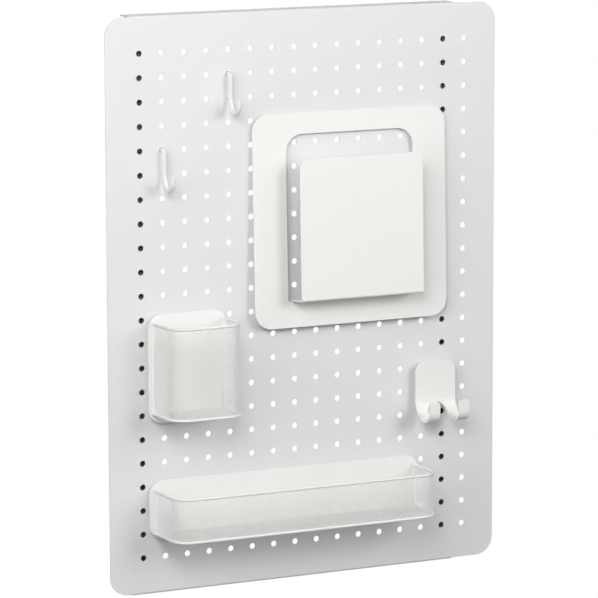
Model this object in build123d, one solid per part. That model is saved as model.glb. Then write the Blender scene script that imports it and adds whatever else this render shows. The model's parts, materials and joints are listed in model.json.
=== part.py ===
from build123d import *
import math
import os

# Wall-hung steel pegboard with six hang-on accessories.
# Millimetres. +X right, +Z up, +Y into the wall. The wall is the plane y = 0.
# Origin: centre of the four wall-screw holes, on the wall plane.

# ------------------------------------------------------------------ board
PITCH = 25.4                 # hole pitch, both ways
COLS, ROWS = 16, 22
HOLE_D = 6.35                # quarter-inch peg hole
BOARD_W, BOARD_H = 457.2, 609.6
BOARD_T = 1.2
DEPTH = 19.05                # board face to wall
CORNER_R = 20.0
SHIFT_X = 12.7               # hole grid is offset from the frame behind it
FLANGE_W = 381.0             # top and bottom flange length
FLANGE_Z = 306.0             # outer face of the flanges
BEND_R = 2.4                 # outer bend radius of the flanges
RAIL_W, RAIL_T, RAIL_H = 25.4, 1.2, 606.4
RAIL_X = 177.8               # rail centre lines, left and right
SCREW_D = 5.5                # wall-screw holes in the rails
SCREW_Z = 241.3

FACE = -DEPTH                # front face of the board
BACK = FACE + BOARD_T
MID = FACE + BOARD_T / 2


def col(c):
    return SHIFT_X + (c - (COLS - 1) / 2) * PITCH


def row(r):
    return ((ROWS - 1) / 2 - r) * PITCH


# ------------------------------------------------------------------ pegs
PEG_D = 5.0
PEG_R = 10.0                 # centreline radius of the hook-over leg
PEG_SWEEP = 78.0             # degrees of arc behind the board
PIN_D = 5.0
PIN_PAST = 1.0               # pin end past the back of the board
COLLAR_D = 9.0
COLLAR_GAP = 0.05            # collar face to board face

# ------------------------------------------------------------------ sheet parts
SHEET = 1.5

os.makedirs("parts", exist_ok=True)


def save(name, shapes):
    shapes = shapes if isinstance(shapes, list) else [shapes]
    solids = []
    for s in shapes:
        solids.extend(s.solids())
    body = solids[0] if len(solids) == 1 else Compound(children=solids)
    body.label = name
    export_step(body, "parts/" + name + ".step")


YZ = Plane(origin=(0, 0, 0), x_dir=(0, 1, 0), z_dir=(1, 0, 0))     # local x = Y, local y = Z


def front_plane(y):
    """Sketch plane facing the viewer: local x = X, local y = Z, extrusion runs towards -Y."""
    return Plane(origin=(0, y, 0), x_dir=(1, 0, 0), z_dir=(0, -1, 0))


def bent_path(points, radii):
    """Tangent line and arc pieces through 2-D points, one radius per inner vertex."""
    out = []
    start = Vector(*points[0])
    for i, r in enumerate(radii, start=1):
        a, v, b = Vector(*points[i - 1]), Vector(*points[i]), Vector(*points[i + 1])
        u1, u2 = (v - a).normalized(), (b - v).normalized()
        turn = math.acos(max(-1, min(1, u1.dot(u2))))
        side = 1 if u1.X * u2.Y - u1.Y * u2.X > 0 else -1
        tl = r * math.tan(turn / 2)
        t1, t2 = v - u1 * tl, v + u2 * tl
        n1 = Vector(-u1.Y, u1.X) * side
        c = t1 + n1 * r
        out.append(("line", start, t1))
        out.append(("arc", t1, t2, c, r, side))
        start = t2
    out.append(("line", start, Vector(*points[-1])))
    return out


def strip_face(plane, points, radii, t):
    """Closed outline of a bent sheet of thickness t around a centreline, on a plane."""
    pieces = bent_path(points, radii)

    def chain(off):
        edges, pts = [], []
        for p in pieces:
            if p[0] == "line":
                u = (p[2] - p[1])
                if u.length < 1e-6:
                    continue
                n = Vector(-u.normalized().Y, u.normalized().X) * off
                edges.append(("l", p[1] + n, p[2] + n))
            else:
                _, t1, t2, c, r, side = p
                rr = r - off * side
                m = ((t1 - c) + (t2 - c)).normalized()
                edges.append(("a", c + (t1 - c).normalized() * rr, c + m * rr, c + (t2 - c).normalized() * rr))
        return edges

    left, right = chain(t / 2), chain(-t / 2)
    with BuildSketch(plane) as sk:
        with BuildLine():
            for e in left + right:
                if e[0] == "l":
                    Line(e[1], e[2])
                else:
                    ThreePointArc(e[1], e[2], e[3])
            Line(left[0][1], right[0][1])
            Line(left[-1][-1], right[-1][-1])
        make_face()
    return sk.sketch


def disc(p, tangent, d):
    with BuildSketch(Plane(origin=p, z_dir=tangent)) as sk:
        Circle(d / 2)
    return sk.sketch


def tube(pieces, to3d, normal, d):
    """Round wire along tangent lines and arcs given in 2-D; normal is the 3-D axis of a left-hand turn."""
    out = None
    for p in pieces:
        a, b = to3d(p[1]), to3d(p[2])
        if p[0] == "line":
            if (b - a).length < 1e-6:
                continue
            s = extrude(disc(a, b - a, d), amount=(b - a).length, dir=(b - a).normalized())
        else:
            _, t1, t2, c, r, side = p
            n = normal * side
            c3 = to3d(c)
            ang = math.degrees(math.acos(max(-1, min(1, (t1 - c).normalized().dot((t2 - c).normalized())))))
            s = revolve(disc(a, n.cross(a - c3), d), axis=Axis(c3, n), revolution_arc=ang)
        out = s if out is None else out + s
    return out


def extrude_x(face, x0, x1):
    return extrude(face, amount=x1 - x0, dir=(1, 0, 0)).moved(Location((x0, 0, 0)))


def rounded_plate(x0, x1, z0, z1, r, y_front, t):
    with BuildSketch(front_plane(y_front + t)) as sk:
        with Locations(((x0 + x1) / 2, (z0 + z1) / 2)):
            RectangleRounded(x1 - x0, z1 - z0, r)
    return extrude(sk.sketch, amount=t)


def peg_arc(z):
    a = math.radians(PEG_SWEEP)
    c = Vector(MID, z + PEG_R)
    return ("arc", Vector(MID, z), Vector(MID + PEG_R * math.sin(a), z + PEG_R * (1 - math.cos(a))), c, PEG_R, 1)


def hanger_peg(x, z, y_plate):
    """Round peg: straight from the plate to the hole, then an arc up behind the board.
    The arc is centred PEG_R above the hole, so it slides through the hole as the part tilts."""
    return tube([("line", Vector(y_plate, z), Vector(MID, z)), peg_arc(z)],
                lambda p: Vector(x, p.X, p.Y), Vector(1, 0, 0), PEG_D)


def rod_y(x, z, y0, y1, d):
    with BuildSketch(Plane(origin=(x, y0, z), x_dir=(1, 0, 0), z_dir=(0, 1, 0))) as sk:
        Circle(d / 2)
    return extrude(sk.sketch, amount=y1 - y0)


def standoff_pin(x, z, y_plate):
    """Lower locating pin with a collar that rests on the board's face."""
    collar = rod_y(x, z, y_plate, FACE - COLLAR_GAP, COLLAR_D)
    pin = rod_y(x, z, FACE - COLLAR_GAP, BACK + PIN_PAST, PIN_D)
    pin = chamfer(pin.edges().filter_by(GeomType.CIRCLE).sort_by(Axis.Y)[-1], 0.8)
    return collar + pin


# ================================================================== pegboard panel
flat_end = FLANGE_Z - BEND_R
with BuildSketch(front_plane(BACK)) as sk:
    with Locations((SHIFT_X, 0)):
        RectangleRounded(BOARD_W, BOARD_H, CORNER_R)
    for s in (1, -1):
        with Locations((0, s * (flat_end + 5))):
            Rectangle(FLANGE_W, 10, mode=Mode.SUBTRACT)
    with Locations((SHIFT_X, 0)):
        with GridLocations(PITCH, PITCH, COLS, ROWS):
            Circle(HOLE_D / 2, mode=Mode.SUBTRACT)
panel = extrude(sk.sketch, amount=BOARD_T)
for s in (1, -1):
    prof = strip_face(YZ, [(MID, s * flat_end), (MID, s * (FLANGE_Z - BOARD_T / 2)), (0, s * (FLANGE_Z - BOARD_T / 2))],
                      [BEND_R - BOARD_T / 2 - 0.001], BOARD_T)
    panel = panel + extrude_x(prof, -FLANGE_W / 2, FLANGE_W / 2)
save("pegboard_panel", panel)

# ================================================================== wall rails
for name, cx in (("left_wall_rail", -RAIL_X), ("right_wall_rail", RAIL_X)):
    top = Plane(origin=(0, 0, -RAIL_H / 2), x_dir=(1, 0, 0), z_dir=(0, 0, 1))
    h = RAIL_W / 2 - RAIL_T / 2
    prof = strip_face(top, [(cx - h, BACK), (cx - h, -RAIL_T / 2), (cx + h, -RAIL_T / 2), (cx + h, BACK)],
                      [1.6, 1.6], RAIL_T)
    rail = extrude(prof, amount=RAIL_H)
    for z in (-SCREW_Z, SCREW_Z):
        rail = rail - rod_y(cx, z, -RAIL_T - 2, 2, SCREW_D)
    save(name, rail)

# ================================================================== wire hooks
WIRE_D = 5.2
STEM_OUT = 5.4               # stem axis in front of the board face
HOOKS = (("upper_wire_hook", 4, 1), ("lower_wire_hook", 1, 4))
HOOK_BEND = 4.6
x, z = col(HOOKS[0][1]), row(HOOKS[0][2])
ys = FACE - STEM_OUT
to3d = lambda p: Vector(x, p.X, p.Y)
path = bent_path([(MID, z), (ys, z), (ys, z - 27), (FACE - 10.5, z - 39.9), (FACE - 26.7, z - 39.9),
                  (FACE - 26.7, z - 26.6)], [HOOK_BEND, 16, 9.0, 9.6])
wire = tube([peg_arc(z)], to3d, Vector(1, 0, 0), WIRE_D) + tube(path, to3d, Vector(1, 0, 0), WIRE_D)
wire = wire + Pos(x, FACE - 26.7, z - 26.6) * Sphere(WIRE_D / 2)
pin = rod_y(x, z - PITCH, FACE - STEM_OUT, BACK + PIN_PAST, 4.6)
pin = chamfer(pin.edges().filter_by(GeomType.CIRCLE).sort_by(Axis.Y)[-1], 0.8)
pin = pin - wire
pin = [s for s in pin.solids() if s.bounding_box().max.Y > BACK][0]
for name, c, r in HOOKS:                 # both hooks are the same piece in two places
    place = Location((col(c) - x, 0, row(r) - z))
    save(name, wire.moved(place))
    save(name + "_pin", pin.moved(place))

# ================================================================== file holder
FH_X0, FH_X1 = col(5), col(14)
FH_TOP, FH_BOT = row(3) + 6.35, row(3) + 6.35 - 228.6
FH_R = 19.0
FH_FRONT = FACE - 4.3        # front face of the frame plate at its upper pegs
FH_LEAN = 1.7                # degrees: the foot of the holder stands further out than its top
FH_BACK = FH_FRONT + SHEET
CUT_X0, CUT_X1 = -12.0, 139.0
CUT_TOP = 173.9
CUT_R = 19.0
FOLD_Z = -3.2                # underside of the shelf at the frame plate
TONGUE_X0, TONGUE_X1 = -9.2, 136.2
POCKET_OUT = FACE - 31.5     # outer face of the pocket front, before the lean
POCKET_BOT = -1.6
POCKET_TOP = 150.3
POCKET_R = 13.0

frame = rounded_plate(FH_X0, FH_X1, FH_BOT, FH_TOP, FH_R, FH_FRONT, SHEET)
with BuildSketch(front_plane(FH_BACK + 5)) as sk:
    with Locations(((CUT_X0 + CUT_X1) / 2, (CUT_TOP + FOLD_Z) / 2 - 20)):
        RectangleRounded(CUT_X1 - CUT_X0, CUT_TOP - FOLD_Z + 40, CUT_R)
cutter = extrude(sk.sketch, amount=15)
floor_block = Pos((CUT_X0 + CUT_X1) / 2, FH_FRONT, FOLD_Z - 100) * Box(400, 60, 200)
frame = frame - (cutter - floor_block)
# the tongue: fold out at the foot of the cut-out, shelf rising slightly, front panel up
yc = FH_FRONT + SHEET / 2
yo = POCKET_OUT + SHEET / 2
prof = strip_face(YZ, [(yc, FOLD_Z - 3.0), (yc, FOLD_Z + SHEET / 2), (yo, POCKET_BOT + SHEET / 2), (yo, POCKET_TOP)],
                  [1.75, 1.75], SHEET)
tongue = extrude_x(prof, TONGUE_X0, TONGUE_X1)
with BuildSketch(front_plane(FH_BACK + 5)) as sk:
    with Locations(((TONGUE_X0 + TONGUE_X1) / 2, (POCKET_TOP - 40) / 2)):
        RectangleRounded(TONGUE_X1 - TONGUE_X0, POCKET_TOP + 40, POCKET_R)
tongue = tongue & extrude(sk.sketch, amount=60)
tongue = tongue + Pos((TONGUE_X0 + TONGUE_X1) / 2, yc, FOLD_Z - 1.5) * Box(TONGUE_X1 - TONGUE_X0, SHEET, 3.0)
holder = frame + tongue
fh_axis = Axis((0, FH_BACK, row(3)), (1, 0, 0))
holder = holder.rotate(fh_axis, -FH_LEAN)
save("file_holder_sheet", holder)
fh_pin_y = FH_BACK + (row(11) - row(3)) * math.tan(math.radians(FH_LEAN))
FH_COLS = (6, 13)
save("file_holder_hanger_pegs", [hanger_peg(col(c), row(3), FH_BACK - 0.7) - holder for c in FH_COLS])
save("file_holder_standoff_pins", [standoff_pin(col(c), row(11), fh_pin_y - 0.7) - holder for c in FH_COLS])

# ================================================================== double hook
DH_X = col(13.5)
DH_W = 48.6
DH_T = 2.0
DH_FRONT = FACE - 10.0
DH_BACK = DH_FRONT + DH_T
DH_TOP = -80.8
DH_R = 13.0
DH_OUT = FACE - 42.6         # outer face of the upturned tips
DH_BOT = -144.5
DH_TIP = -119.6
PRONG_W = 12.8
ARCH_TOP = -126.8
yc, yo, zb = DH_FRONT + DH_T / 2, DH_OUT + DH_T / 2, DH_BOT + DH_T / 2
r_back, r_tip = 20.4, 11.0
prof = strip_face(YZ, [(yc, DH_TOP), (yc, zb), (yo, zb), (yo, DH_TIP)], [r_back, r_tip], DH_T)
dh = extrude_x(prof, DH_X - DH_W / 2, DH_X + DH_W / 2)
with BuildSketch(front_plane(FACE)) as sk:          # front outline, with rounded upper corners
    with Locations((DH_X, (DH_TOP - 200) / 2)):
        RectangleRounded(DH_W, DH_TOP + 200, DH_R)
outline = extrude(sk.sketch, amount=30)
with BuildSketch(front_plane(FACE - 30)) as sk:     # rounded tips of the two prongs
    for s in (-1, 1):
        with Locations((DH_X + s * (DH_W - PRONG_W) / 2, (DH_TIP - 200) / 2)):
            RectangleRounded(PRONG_W, DH_TIP + 200, 4.0)
tips = extrude(sk.sketch, amount=30)
gap = DH_W - 2 * PRONG_W
arch_c = ARCH_TOP - gap / 2
dh_plate = dh & outline
dh_tips = dh & tips
slot = Pos(DH_X, FACE - 15, arch_c - 50) * Box(gap, 32, 100)
arch = rod_y(DH_X, arch_c, FACE - 31, FACE + 1, gap)
dh = (dh_plate - slot - arch) + dh_tips
save("double_hook_sheet", dh)
DH_COLS = (13, 14)
save("double_hook_hanger_pegs", [hanger_peg(col(c), row(14), DH_BACK) for c in DH_COLS])
save("double_hook_standoff_pins", [standoff_pin(col(c), row(15), DH_BACK) for c in DH_COLS])


# ================================================================== mesh baskets
RIM_D = 3.0
SIDE_D = 3.2                 # upright wires at the plate
MESH_T = 0.8


def u_face(z, cx, half, y0, y1, r):
    """Solid U outline in plan (closed at the back)."""
    pl = Plane(origin=(0, 0, z), x_dir=(1, 0, 0), z_dir=(0, 0, 1))
    k = r * (1 - math.sqrt(0.5))
    with BuildSketch(pl) as sk:
        with BuildLine():
            Line((cx - half, y0), (cx - half, y1 + r))
            ThreePointArc((cx - half, y1 + r), (cx - half + k, y1 + k), (cx - half + r, y1))
            Line((cx - half + r, y1), (cx + half - r, y1))
            ThreePointArc((cx + half - r, y1), (cx + half - k, y1 + k), (cx + half, y1 + r))
            Line((cx + half, y1 + r), (cx + half, y0))
            Line((cx + half, y0), (cx - half, y0))
        make_face()
    return sk.sketch


def basket(name, cx, plate_half, top, bottom, half, z_rim, z_base, y_out, corner, peg_cols, peg_row, pin_row):
    """One mesh basket. half, y_out: rim wire centreline half width and front distance."""
    front = FACE - 5.0
    back = front + SHEET
    plate = rounded_plate(cx - plate_half, cx + plate_half, bottom, top, 16.0, front, SHEET)
    y0 = front - SIDE_D / 2
    y1 = FACE - y_out
    sides = []
    for s in (-1, 1):
        pl = Plane(origin=(cx + s * half, y0, z_base - SIDE_D / 2), x_dir=(1, 0, 0), z_dir=(0, 0, 1))
        with BuildSketch(pl) as sk:
            Circle(SIDE_D / 2)
        sides.append(extrude(sk.sketch, amount=z_rim - z_base + SIDE_D))
    rims = []
    for z in (z_rim, z_base):
        path = bent_path([(cx - half, y0), (cx - half, y1), (cx + half, y1), (cx + half, y0)], [corner, corner])
        rim = tube(path, lambda p: Vector(p.X, p.Y, z), Vector(0, 0, 1), RIM_D)
        rim = rim - sides[0] - sides[1]        # the rim ends are coped onto the side wires
        rims.append(max(rim.solids(), key=lambda q: q.volume))
    # mesh wall: thin sheet on the rim centreline, between the two rims
    zlo, zhi = z_base, z_rim
    outer = u_face(zlo, cx, half + MESH_T / 2, y0, y1 - MESH_T / 2, corner + MESH_T / 2)
    inner = u_face(zlo, cx, half - MESH_T / 2, y0, y1 + MESH_T / 2, corner - MESH_T / 2)
    wall = extrude(outer, amount=zhi - zlo) - extrude(inner, amount=zhi - zlo)
    wall = wall - rims[0] - rims[1] - sides[0] - sides[1]
    wall = max(wall.solids(), key=lambda s: s.volume)
    # mesh floor: inside the bottom rim, at its mid height
    fz = z_base - MESH_T / 2
    floor = extrude(u_face(fz, cx, half - RIM_D / 2, front, y1 + RIM_D / 2, corner - RIM_D / 2), amount=MESH_T)
    floor = floor - sides[0] - sides[1]
    save(name + "_back_plate", plate)
    save(name + "_side_wires", sides)
    save(name + "_top_rim", rims[0])
    save(name + "_bottom_rim", rims[1])
    save(name + "_mesh_wall", wall)
    save(name + "_mesh_floor", floor)
    save(name + "_hanger_pegs", [hanger_peg(col(c), row(peg_row), back) for c in peg_cols])
    save(name + "_standoff_pins", [standoff_pin(col(c), row(pin_row), back) for c in peg_cols])


basket("cup", col(2), 45.3, row(11) + 6.4, -122.8, 40.7, -15.2, -111.2, 60.0, 19.0, (1, 3), 11, 15)
basket("tray", col(6.5), 159.7, row(18) + 6.6, -246.8, 153.5, -194.3, -239.9, 64.8, 19.0, (1, 12), 18, 20)
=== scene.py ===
import json
import math
import bpy
import bmesh
from mathutils import Matrix, Vector


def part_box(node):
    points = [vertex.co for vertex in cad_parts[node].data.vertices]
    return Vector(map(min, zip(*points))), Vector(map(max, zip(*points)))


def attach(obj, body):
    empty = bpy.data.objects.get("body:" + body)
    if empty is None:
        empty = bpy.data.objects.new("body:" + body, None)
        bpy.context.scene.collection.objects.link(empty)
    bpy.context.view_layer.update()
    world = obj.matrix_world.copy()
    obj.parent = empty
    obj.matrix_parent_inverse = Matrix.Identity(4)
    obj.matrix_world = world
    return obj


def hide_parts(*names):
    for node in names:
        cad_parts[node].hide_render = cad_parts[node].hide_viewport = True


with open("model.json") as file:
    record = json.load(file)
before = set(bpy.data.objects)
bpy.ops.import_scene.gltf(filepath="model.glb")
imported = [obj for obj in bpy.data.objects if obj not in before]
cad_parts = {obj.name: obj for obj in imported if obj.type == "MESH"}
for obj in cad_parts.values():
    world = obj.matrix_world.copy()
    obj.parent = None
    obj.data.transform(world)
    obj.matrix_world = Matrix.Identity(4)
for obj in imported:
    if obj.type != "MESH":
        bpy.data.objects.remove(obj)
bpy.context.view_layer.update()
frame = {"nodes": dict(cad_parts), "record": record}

MM = 0.001
SC = bpy.context.scene


# ------------------------------------------------------------------ materials
def powder_coat(name, tone, rough=0.5, peel=0.10, peel_scale=700.0, drift=0.010, speck=0.35, edge=0.0):
    """Satin powder coat: orange-peel bump, slow drift in tone, fine change in gloss."""
    m = bpy.data.materials.new(name)
    m.use_nodes = True
    nt = m.node_tree
    n, l = nt.nodes, nt.links
    bsdf = n["Principled BSDF"]
    bsdf.inputs["Metallic"].default_value = 0.0
    bsdf.inputs["IOR"].default_value = 1.5
    bsdf.inputs["Specular IOR Level"].default_value = 0.42
    bsdf.inputs["Coat Weight"].default_value = 0.06
    bsdf.inputs["Coat Roughness"].default_value = 0.35
    tc = n.new("ShaderNodeTexCoord")
    # slow drift of tone
    slow = n.new("ShaderNodeTexNoise")
    slow.inputs["Scale"].default_value = 7.0
    slow.inputs["Detail"].default_value = 3.0
    slow.inputs["Roughness"].default_value = 0.55
    l.new(tc.outputs["Object"], slow.inputs["Vector"])
    ramp = n.new("ShaderNodeValToRGB")
    ramp.color_ramp.elements[0].position = 0.30
    ramp.color_ramp.elements[1].position = 0.70
    lo = [max(0.0, c * (1 - drift)) for c in tone]
    hi = [min(1.0, c * (1 + drift)) for c in tone]
    ramp.color_ramp.elements[0].color = (*lo, 1)
    ramp.color_ramp.elements[1].color = (*hi, 1)
    l.new(slow.outputs["Fac"], ramp.inputs["Fac"])
    # fine mottling of the coat's particles
    fine = n.new("ShaderNodeTexNoise")
    fine.inputs["Scale"].default_value = peel_scale * 3.2
    fine.inputs["Detail"].default_value = 2.0
    l.new(tc.outputs["Object"], fine.inputs["Vector"])
    fr = n.new("ShaderNodeMapRange")
    fr.inputs["From Min"].default_value = 0.3
    fr.inputs["From Max"].default_value = 0.7
    fr.inputs["To Min"].default_value = 1.0 - 0.020 * speck
    fr.inputs["To Max"].default_value = 1.0 + 0.012 * speck
    l.new(fine.outputs["Fac"], fr.inputs["Value"])
    mul = n.new("ShaderNodeMix")
    mul.data_type = "RGBA"
    mul.blend_type = "MULTIPLY"
    mul.inputs["Factor"].default_value = 1.0
    l.new(ramp.outputs["Color"], mul.inputs["A"])
    comb = n.new("ShaderNodeCombineColor")
    for k in ("Red", "Green", "Blue"):
        l.new(fr.outputs["Result"], comb.inputs[k])
    l.new(comb.outputs["Color"], mul.inputs["B"])
    l.new(mul.outputs["Result"], bsdf.inputs["Base Color"])
    # gloss
    rr = n.new("ShaderNodeMapRange")
    rr.inputs["From Min"].default_value = 0.3
    rr.inputs["From Max"].default_value = 0.7
    rr.inputs["To Min"].default_value = rough - 0.05
    rr.inputs["To Max"].default_value = rough + 0.06
    l.new(fine.outputs["Fac"], rr.inputs["Value"])
    l.new(rr.outputs["Result"], bsdf.inputs["Roughness"])
    # orange peel
    vor = n.new("ShaderNodeTexVoronoi")
    vor.feature = "SMOOTH_F1"
    vor.inputs["Scale"].default_value = peel_scale
    vor.inputs["Smoothness"].default_value = 1.0
    l.new(tc.outputs["Object"], vor.inputs["Vector"])
    noi = n.new("ShaderNodeTexNoise")
    noi.inputs["Scale"].default_value = peel_scale * 0.55
    noi.inputs["Detail"].default_value = 3.0
    l.new(tc.outputs["Object"], noi.inputs["Vector"])
    add = n.new("ShaderNodeMath")
    add.operation = "ADD"
    l.new(vor.outputs["Distance"], add.inputs[0])
    l.new(noi.outputs["Fac"], add.inputs[1])
    bump = n.new("ShaderNodeBump")
    bump.inputs["Strength"].default_value = peel
    bump.inputs["Distance"].default_value = 0.0004
    l.new(add.outputs["Value"], bump.inputs["Height"])
    l.new(bump.outputs["Normal"], bsdf.inputs["Normal"])
    return m


MAT = {
    "board_white": powder_coat("board_powder_coat", (0.800, 0.802, 0.806), rough=0.52, peel=0.12, peel_scale=620),
    "rail_white": powder_coat("rail_powder_coat", (0.76, 0.762, 0.766), rough=0.55, peel=0.12, peel_scale=620),
    "sheet_white": powder_coat("folded_sheet_powder_coat", (0.905, 0.895, 0.875), rough=0.50, peel=0.10, peel_scale=760),
    "hook_white": powder_coat("wire_powder_coat", (0.815, 0.812, 0.805), rough=0.42, peel=0.10, peel_scale=1100),
    "rim_white": powder_coat("rim_powder_coat", (0.895, 0.89, 0.875), rough=0.42, peel=0.10, peel_scale=1200),
    "mesh_white": powder_coat("mesh_powder_coat", (0.90, 0.895, 0.885), rough=0.48, peel=0.08, peel_scale=1500, speck=0.6),
    "peg_white": powder_coat("peg_powder_coat", (0.86, 0.855, 0.84), rough=0.45, peel=0.10, peel_scale=1100),
}
SLOT = {s["node"]: s["material_slot"] for s in frame["record"]["subparts"]}

# ------------------------------------------------------------------ CAD nodes: clean shading and softened edges
ROUND = {"file_holder_sheet": 0.30, "double_hook_sheet": 0.35, "cup_back_plate": 0.30, "tray_back_plate": 0.30,
         "left_wall_rail": 0.2, "right_wall_rail": 0.2}
for name, ob in frame["nodes"].items():
    ob.data.materials.clear()
    ob.data.materials.append(MAT[SLOT[name]])
    for p in ob.data.polygons:
        p.use_smooth = True
    w = ob.modifiers.new("weld", "WELD")
    w.merge_threshold = 2e-6
    if name in ROUND:
        b = ob.modifiers.new("edge", "BEVEL")
        b.width = ROUND[name] * MM
        b.segments = 2
        b.limit_method = "ANGLE"
        b.angle_limit = math.radians(40)
        b.harden_normals = False
        b.use_clamp_overlap = False
    else:
        e = ob.modifiers.new("split", "EDGE_SPLIT")
        e.split_angle = math.radians(38)
    n = ob.modifiers.new("even", "WEIGHTED_NORMAL")
    n.mode = "FACE_AREA"
    n.weight = 60
    n.keep_sharp = True


# ------------------------------------------------------------------ expanded-mesh sheets
def mesh_object(name, verts, faces, body, slot, smooth=False):
    me = bpy.data.meshes.new(name)
    me.from_pydata(verts, [], faces)
    me.validate()
    me.update()
    ob = bpy.data.objects.new(name, me)
    SC.collection.objects.link(ob)
    me.materials.append(MAT[slot])
    if smooth:
        for p in me.polygons:
            p.use_smooth = True
    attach(ob, body)
    return ob


def lattice(u0, u1, v0, v1, a, b, keep=None):
    """Rhombic cells with rounded diamond holes. Returns points (u, v) and the cells' quads."""
    nu = max(2, round((u1 - u0) / a))
    nv = max(1, round((v1 - v0) / b))
    du, dv = (u1 - u0) / nu, (v1 - v0) / nv
    pts, index, cells = [], {}, []

    def vid(u, v):
        key = (round(u * 1e4), round(v * 1e4))
        if key not in index:
            index[key] = len(pts)
            pts.append((u, v))
        return index[key]

    hole = 0.84
    for j in range(2 * nv - 1):
        vc = v0 + (j + 1) * dv / 2
        odd = j % 2
        for i in range(nu - odd):
            uc = u0 + (i + 0.5 + 0.5 * odd) * du
            corners = [(uc + du / 2, vc), (uc, vc + dv / 2), (uc - du / 2, vc), (uc, vc - dv / 2)]
            if keep and not all(keep(*c) for c in corners):
                continue
            ring = []
            for k in range(4):
                c0, c1 = corners[k], corners[(k + 1) % 4]
                ring.append(c0)
                ring.append(((c0[0] + c1[0]) / 2, (c0[1] + c1[1]) / 2))
            outer = [vid(*p) for p in ring]
            inner = []
            for k, p in enumerate(ring):
                f = hole * (0.94 if k % 2 == 0 else 1.02)
                q = (uc + (p[0] - uc) * f, vc + (p[1] - vc) * f)
                inner.append(len(pts))
                pts.append(q)
            cells.append((outer, inner))
    return pts, cells


def lattice_solid(pts, cells, place, t):
    """place(u, v) -> (point, normal). Gives both faces and the walls of the holes."""
    verts = []
    n = len(pts)
    for s in (0.5, -0.5):
        for u, v in pts:
            p, nn = place(u, v)
            verts.append(tuple(p + nn * (t * s)))
    faces = []
    for outer, inner in cells:
        for k in range(8):
            k2 = (k + 1) % 8
            faces.append((outer[k], outer[k2], inner[k2], inner[k]))
            faces.append((outer[k2] + n, outer[k] + n, inner[k] + n, inner[k2] + n))
            faces.append((inner[k], inner[k2], inner[k2] + n, inner[k] + n))
    return verts, faces


def basket(prefix, body, a=2.75, b=4.3):
    lo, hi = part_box(prefix + "_top_rim")
    blo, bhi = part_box(prefix + "_bottom_rim")
    wire = (hi.z - lo.z) / 2
    z1, z0 = (lo.z + hi.z) / 2, (blo.z + bhi.z) / 2
    cx = (lo.x + hi.x) / 2
    half = (hi.x - lo.x) / 2 - wire
    yf = lo.y + wire
    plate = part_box(prefix + "_back_plate")[0].y
    y0 = plate - 0.4 * MM
    r = 19.0 * MM
    arc = math.pi / 2 * r
    side = (y0 - yf) - r
    flat = 2 * (half - r)
    total = 2 * side + 2 * arc + flat

    def wall(u, v):
        if u <= side:
            return Vector((cx - half, y0 - u, v)), Vector((-1, 0, 0))
        u -= side
        if u <= arc:
            t = u / r
            c = Vector((cx - half + r, yf + r, v))
            nn = Vector((-math.cos(t), -math.sin(t), 0))
            return c + nn * r, nn
        u -= arc
        if u <= flat:
            return Vector((cx - half + r + u, yf, v)), Vector((0, -1, 0))
        u -= flat
        if u <= arc:
            t = u / r
            c = Vector((cx + half - r, yf + r, v))
            nn = Vector((math.sin(t), -math.cos(t), 0))
            return c + nn * r, nn
        u -= arc
        return Vector((cx + half, yf + r + u, v)), Vector((1, 0, 0))

    t = 0.40 * MM
    pts, cells = lattice(0, total, z0 - 1.0 * MM, z1 + 1.0 * MM, a * MM, b * MM)
    ob = mesh_object(prefix + "_expanded_mesh_wall", *lattice_solid(pts, cells, wall, t), body, "mesh_white")
    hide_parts(prefix + "_mesh_wall")

    def inside(x, y):
        g = 1.0 * MM
        if abs(x - cx) > half + g or y < yf - g or y > y0 + 0.2 * MM:
            return False
        ex, ey = abs(x - cx) - (half - r), (yf + r) - y
        if ex > 0 and ey > 0:
            return math.hypot(ex, ey) <= r + g
        return True

    pts, cells = lattice(cx - half - 1.0 * MM, cx + half + 1.0 * MM, yf - 1.0 * MM, y0, a * MM, b * MM, inside)
    ob = mesh_object(prefix + "_expanded_mesh_floor",
                     *lattice_solid(pts, cells, lambda u, v: (Vector((u, v, z0)), Vector((0, 0, 1))), t), body, "mesh_white")
    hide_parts(prefix + "_mesh_floor")


basket("cup", "cup")
basket("tray", "tray")

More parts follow.
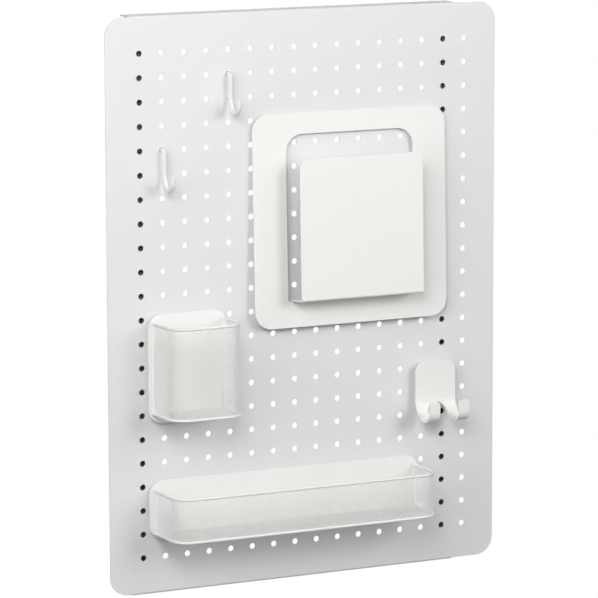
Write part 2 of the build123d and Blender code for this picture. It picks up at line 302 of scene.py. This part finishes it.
# ------------------------------------------------------------------ the board, with every punched hole's softened edge
def build_board():
    lo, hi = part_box("pegboard_panel")
    face, back = lo.y, lo.y + 1.2 * MM
    flange_x, bend_z, top_z, out_z, corner = 190.5 * MM, 303.6 * MM, 304.8 * MM, hi.z, 20 * MM
    r = 0.22 * MM
    verts, faces = [], []

    def add(x, y, z):
        verts.append((x, y, z))
        return len(verts) - 1

    # edge profile from the front face round to the back face: (inset, y)
    def profile(seg_front, seg_back):
        rows = []
        for k in range(seg_front + 1):
            t = math.pi / 2 * k / seg_front
            rows.append((r * (1 - math.sin(t)), face + r * (1 - math.cos(t))))
        for k in range(seg_back + 1):
            t = math.pi / 2 * k / seg_back
            rows.append((r * (1 - math.cos(t)), back - r * (1 - math.sin(t))))
        return rows

    rim = profile(3, 2)
    bore = profile(2, 1)

    # free outline of each side, walked anticlockwise seen from the front
    def chain(sign):
        pts = [(flange_x, -top_z)]
        cx, cz = hi.x - corner, top_z - corner
        if sign < 0:
            cx = -lo.x - corner
        for k in range(13):
            t = -math.pi / 2 + math.pi / 2 * k / 12
            pts.append((cx + corner * math.cos(t), -cz + corner * math.sin(t)))
        for k in range(13):
            t = math.pi / 2 * k / 12
            pts.append((cx + corner * math.cos(t), cz + corner * math.sin(t)))
        pts.append((flange_x, top_z))
        return [(sign * x, z) for x, z in (pts if sign > 0 else pts[::-1])]

    def normals(pts):
        res = []
        for i in range(len(pts)):
            a = Vector(pts[max(i - 1, 0)])
            b = Vector(pts[min(i + 1, len(pts) - 1)])
            d = (b - a).normalized()
            res.append(Vector((d.y, -d.x)))
        res[0], res[-1] = Vector((0, -1 if pts[0][1] < 0 else 1)), Vector((0, 1 if pts[-1][1] > 0 else -1))
        return res

    front_loop, back_loop = [], []
    for sign in (1, -1):
        pts = chain(sign)
        nn = normals(pts)
        rings = []
        for (inset, y) in rim:
            rings.append([add(p[0] - q.x * inset, y, p[1] - q.y * inset) for p, q in zip(pts, nn)])
        for a, b in zip(rings, rings[1:]):
            for i in range(len(pts) - 1):
                faces.append((a[i], a[i + 1], b[i + 1], b[i]))
        zs = 1 if sign > 0 else -1
        e0 = add(sign * flange_x, face, zs * -bend_z), add(sign * flange_x, back, zs * -bend_z)
        e1 = add(sign * flange_x, face, zs * bend_z), add(sign * flange_x, back, zs * bend_z)
        front_loop += [e0[0]] + rings[0] + [e1[0]]
        back_loop += [e0[1]] + rings[-1] + [e1[1]]
        faces.append([e0[0]] + [q[0] for q in rings] + [e0[1]])
        faces.append([e1[1]] + [q[-1] for q in rings[::-1]] + [e1[0]])

    # holes
    seg = 24
    front_holes, back_holes = [], []
    for c in range(16):
        for w in range(22):
            hx, hz = (12.7 + (c - 7.5) * 25.4) * MM, (10.5 - w) * 25.4 * MM
            rings = []
            for (inset, y) in bore:
                rad = 3.175 * MM + inset
                rings.append([add(hx + rad * math.cos(2 * math.pi * k / seg), y, hz + rad * math.sin(2 * math.pi * k / seg)) for k in range(seg)])
            for a, b in zip(rings, rings[1:]):
                for k in range(seg):
                    k2 = (k + 1) % seg
                    faces.append((a[k2], a[k], b[k], b[k2]))
            front_holes.append(rings[0])
            back_holes.append(rings[-1])

    def flat(loop, holes, flip):
        ids, edges = [], []
        for ring in [loop] + holes:
            s0 = len(ids)
            ids += ring
            edges += [(s0 + k, s0 + (k + 1) % len(ring)) for k in range(len(ring))]
        # a light grid of inner points keeps the triangles short
        extra = []
        for c in range(17):
            for w in range(23):
                extra.append(((12.7 + (c - 8) * 25.4) * MM, (11 - w) * 25.4 * MM))
        co = [(verts[i][0], verts[i][2]) for i in ids] + extra
        y = verts[loop[0]][1]
        from mathutils.geometry import delaunay_2d_cdt
        ov, oe, of, src, _, _ = delaunay_2d_cdt([Vector(p) for p in co], edges, [], 0, 1e-9)
        ident = []
        for k, s_ in enumerate(src):
            hit = [q for q in s_ if q < len(ids)]
            ident.append(ids[hit[0]] if hit else add(ov[k][0], y, ov[k][1]))
        centres = {}
        for ring in holes:
            x = sum(verts[i][0] for i in ring) / len(ring)
            z = sum(verts[i][2] for i in ring) / len(ring)
            centres[(round(x / (25.4 * MM) - 0.0), round(z / (25.4 * MM) + 0.5))] = (x, z)
        hole_of = {}
        for h, ring in enumerate(holes):
            for i in ring:
                hole_of[i] = h
        for f in of:
            t = [ident[k] for k in f]
            if len(set(hole_of.get(i, -1) for i in t)) == 1 and t[0] in hole_of:
                continue
            mx = sum(verts[i][0] for i in t) / 3
            mz = sum(verts[i][2] for i in t) / 3
            if abs(mx) < flange_x and abs(mz) > bend_z:
                continue
            ex = mx - (hi.x - corner) if mx > 0 else (lo.x + corner) - mx
            ez = abs(mz) - (top_z - corner)
            if ex > 0 and ez > 0 and math.hypot(ex, ez) > corner - r * 0.5:
                continue
            faces.append(tuple(t[::-1]) if flip else tuple(t))

    flat(front_loop, front_holes, False)
    flat(back_loop, back_holes, True)

    # bends and flanges
    rb = 2.4 * MM
    for s in (1, -1):
        prof = []
        for k in range(7):
            t = math.pi / 2 * k / 6
            prof.append((face + rb - rb * math.cos(t), bend_z + rb * math.sin(t)))
        prof.append((-r, out_z))
        prof.append((-r * 0.3, out_z - r * 0.3))
        prof.append((0.0, out_z - r))
        prof.append((0.0, out_z - 1.2 * MM + r))
        prof.append((-r * 0.3, out_z - 1.2 * MM + r * 0.3))
        prof.append((-r, out_z - 1.2 * MM))
        for k in range(7):
            t = math.pi / 2 * (1 - k / 6)
            prof.append((face + rb - (rb - 1.2 * MM) * math.cos(t), bend_z + (rb - 1.2 * MM) * math.sin(t)))
        xs = [-flange_x, -flange_x + r] + [(-165.1 + 25.4 * k) * MM for k in range(14)] + [flange_x - r, flange_x]
        cols = []
        for x in xs:
            cols.append([add(x, y, s * z) for y, z in prof])
        n = len(prof)
        for a, b in zip(cols, cols[1:]):
            for k in range(n - 1):
                q = (a[k], b[k], b[k + 1], a[k + 1])
                faces.append(q if s > 0 else q[::-1])
        for col_, rev in ((cols[0], s > 0), (cols[-1], s < 0)):
            half = n // 2
            for k in range(half):
                q = [col_[k], col_[k + 1], col_[n - 2 - k], col_[n - 1 - k]]
                q = list(dict.fromkeys(q))
                if len(q) > 2:
                    faces.append(tuple(q) if rev else tuple(q[::-1]))

    me = bpy.data.meshes.new("punched_board")
    me.from_pydata(verts, [], faces)
    me.validate()
    bm = bmesh.new()
    bm.from_mesh(me)
    bmesh.ops.remove_doubles(bm, verts=bm.verts, dist=1e-7)
    bmesh.ops.recalc_face_normals(bm, faces=bm.faces)
    for f in bm.faces:
        f.smooth = True
    for e in bm.edges:
        if len(e.link_faces) == 2 and e.calc_face_angle(0) > math.radians(50):
            e.smooth = False
    bm.to_mesh(me)
    bm.free()
    ob = bpy.data.objects.new("punched_board", me)
    SC.collection.objects.link(ob)
    me.materials.append(MAT["board_white"])
    n = ob.modifiers.new("even", "WEIGHTED_NORMAL")
    n.mode = "FACE_AREA"
    n.weight = 60
    n.keep_sharp = True
    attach(ob, "board")
    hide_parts("pegboard_panel")
    return ob


board = build_board()

# ------------------------------------------------------------------ stage
def stage_mesh(name, verts, faces, mat):
    me = bpy.data.meshes.new(name)
    me.from_pydata(verts, [], faces)
    me.update()
    ob = bpy.data.objects.new(name, me)
    SC.collection.objects.link(ob)
    me.materials.append(mat)
    return ob


fm = bpy.data.materials.new("pale_floor")
fm.use_nodes = True
ft = fm.node_tree
fb = ft.nodes["Principled BSDF"]
fb.inputs["Base Color"].default_value = (0.3, 0.3, 0.3, 1)
fb.inputs["Roughness"].default_value = 0.9
fe = ft.nodes.new("ShaderNodeEmission")
fe.inputs["Color"].default_value = (1, 1, 1, 1)
fx = ft.nodes.new("ShaderNodeMixShader")
fl = ft.nodes.new("ShaderNodeLightPath")
ft.links.new(fl.outputs["Is Camera Ray"], fx.inputs["Fac"])
ft.links.new(fb.outputs["BSDF"], fx.inputs[1])
ft.links.new(fe.outputs["Emission"], fx.inputs[2])
ft.links.new(fx.outputs["Shader"], ft.nodes["Material Output"].inputs["Surface"])
FZ = -0.95
stage_mesh("floor", [(-9, -9, FZ), (9, -9, FZ), (9, 9, FZ), (-9, 9, FZ)], [(0, 1, 2, 3)], fm)

# ------------------------------------------------------------------ light
world = bpy.data.worlds.new("studio")
SC.world = world
world.use_nodes = True
wn, wl = world.node_tree.nodes, world.node_tree.links
wn.clear()
wo = wn.new("ShaderNodeOutputWorld")
WORLD_UP, WORLD_DOWN = 0.03, 0.015
b1 = wn.new("ShaderNodeBackground")
b1.inputs["Color"].default_value = (1, 1, 1, 1)
wt = wn.new("ShaderNodeTexCoord")
ws = wn.new("ShaderNodeSeparateXYZ")
wr = wn.new("ShaderNodeMapRange")
wr.interpolation_type = "SMOOTHSTEP"
wr.inputs["From Min"].default_value = -0.5
wr.inputs["From Max"].default_value = 0.6
wr.inputs["To Min"].default_value = WORLD_DOWN
wr.inputs["To Max"].default_value = WORLD_UP
wl.new(wt.outputs["Generated"], ws.inputs["Vector"])
wl.new(ws.outputs["Z"], wr.inputs["Value"])
wl.new(wr.outputs["Result"], b1.inputs["Strength"])
b2 = wn.new("ShaderNodeBackground")
b2.inputs["Color"].default_value = (1, 1, 1, 1)
b2.inputs["Strength"].default_value = 1.0
lp = wn.new("ShaderNodeLightPath")
ms = wn.new("ShaderNodeMixShader")
wl.new(lp.outputs["Is Camera Ray"], ms.inputs["Fac"])
wl.new(b1.outputs["Background"], ms.inputs[1])
wl.new(b2.outputs["Background"], ms.inputs[2])
wl.new(ms.outputs["Shader"], wo.inputs["Surface"])


def area(name, loc, target, size, power, color=(1, 1, 1)):
    d = bpy.data.lights.new(name, "AREA")
    d.shape = "RECTANGLE"
    d.size, d.size_y = size
    d.energy = power
    d.color = color
    o = bpy.data.objects.new(name, d)
    SC.collection.objects.link(o)
    o.location = loc
    o.rotation_mode = "QUATERNION"
    o.rotation_quaternion = (Vector(target) - Vector(loc)).to_track_quat("-Z", "Y")
    return o


# name, place, aim, size, power
LIGHTS = [
    ("left_side", (-1.9, -1.0, 0.3), (0, 0, 0), (0.9, 1.4), 13.6),
    ("left_mid", (-0.9, -1.7, 0.9), (0, 0, 0.1), (0.7, 0.7), 14.3),
    ("left_near", (-1.0, -1.0, 0.9), (0, 0, 0.1), (0.5, 0.6), 4.8),
    ("top_front", (0.0, -1.1, 1.6), (0, 0, 0.1), (1.6, 0.7), 2.5),
    ("right_mid", (0.9, -1.9, 0.7), (0, 0, 0.1), (0.7, 0.9), 15.2),
    ("right_front", (1.8, -1.5, 0.7), (0, 0, 0), (0.9, 1.3), 8.0),
    ("rear_soft", (0.5, 2.3, 1.0), (0, 0, 0), (2.0, 2.0), 26),
]
for row in LIGHTS:
    if row[4] > 0:
        area(*row)

# ------------------------------------------------------------------ camera
cam = bpy.data.cameras.new("camera")
cam.sensor_width = 36.0
cam.lens = 225.33
cam.clip_start, cam.clip_end = 0.05, 60
co = bpy.data.objects.new("camera", cam)
SC.collection.objects.link(co)
fwd = Vector((0.4328, 0.8868, -0.1624)).normalized()
up = Vector((0.0735, 0.1448, 0.9867))
right = fwd.cross(up).normalized()
up = right.cross(fwd).normalized()
rot = Matrix((right, up, -fwd)).transposed()
co.matrix_world = Matrix.Translation(Vector((-1.7186, -3.55115, 0.6436))) @ rot.to_4x4()
SC.camera = co
SC.view_settings.view_transform = "Standard"
SC.view_settings.look = "None"
